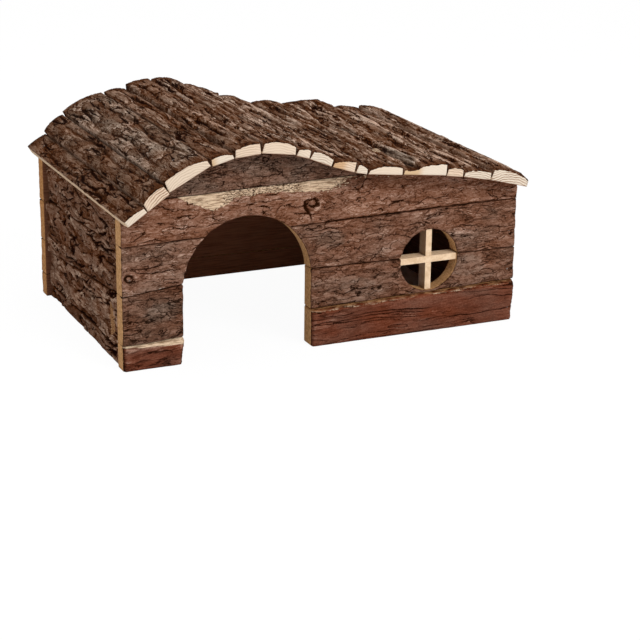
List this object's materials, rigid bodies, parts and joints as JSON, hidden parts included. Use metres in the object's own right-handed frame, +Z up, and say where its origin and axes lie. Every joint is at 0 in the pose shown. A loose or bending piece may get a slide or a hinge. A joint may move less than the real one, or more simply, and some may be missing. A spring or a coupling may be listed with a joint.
{
  "type": "small pet house",
  "caption": "Bark-board house for a small pet, with an arched doorway, a round window with crossed bars and a rolling slat roof.",
  "frame": {"origin": "on the floor, under the middle of the house's box", "axes": "+X along the front wall towards the window, -Y out of the doorway, +Z up"},
  "size_m": [0.3074, 0.225, 0.1567],
  "materials": {
    "wall_bark": "rough brown bark outside, sawn wood on the edges, dark sawn wood inside",
    "sill_bark": "thin smooth red-brown bark with a bare eased top edge",
    "roof_bark": "deeply furrowed dark bark on top, cream end grain",
    "bar_wood": "planed pale wood",
    "brad_wire": "plain flat wire"
  },
  "bodies": {
    "root": {"back_crest_board": "wall_bark", "back_lower_board": "wall_bark", "back_middle_board": "wall_bark", "back_sill_board": "wall_bark", "back_upper_board": "wall_bark", "front_crest_board": "wall_bark", "front_lintel_board": "wall_bark", "front_lower_board_left": "wall_bark", "front_lower_board_right": "wall_bark", "front_middle_board_left": "wall_bark", "front_middle_board_right": "wall_bark", "front_sill_left": "sill_bark", "front_sill_right": "sill_bark", "left_bottom_board": "wall_bark", "left_lower_board": "wall_bark", "left_top_board": "wall_bark", "left_upper_board": "wall_bark", "right_bottom_board": "wall_bark", "right_lower_board": "wall_bark", "right_top_board": "wall_bark", "right_upper_board": "wall_bark", "roof_brads": "brad_wire", "roof_slat_01": "roof_bark", "roof_slat_02": "roof_bark", "roof_slat_03": "roof_bark", "roof_slat_04": "roof_bark", "roof_slat_05": "roof_bark", "roof_slat_06": "roof_bark", "roof_slat_07": "roof_bark", "roof_slat_08": "roof_bark", "roof_slat_09": "roof_bark", "roof_slat_10": "roof_bark", "roof_slat_11": "roof_bark", "roof_slat_12": "roof_bark", "roof_slat_13": "roof_bark", "roof_slat_14": "roof_bark", "roof_slat_15": "roof_bark", "wall_brads": "brad_wire", "window_crossbar": "bar_wood", "window_upright": "bar_wood"}
  },
  "joints": []
}
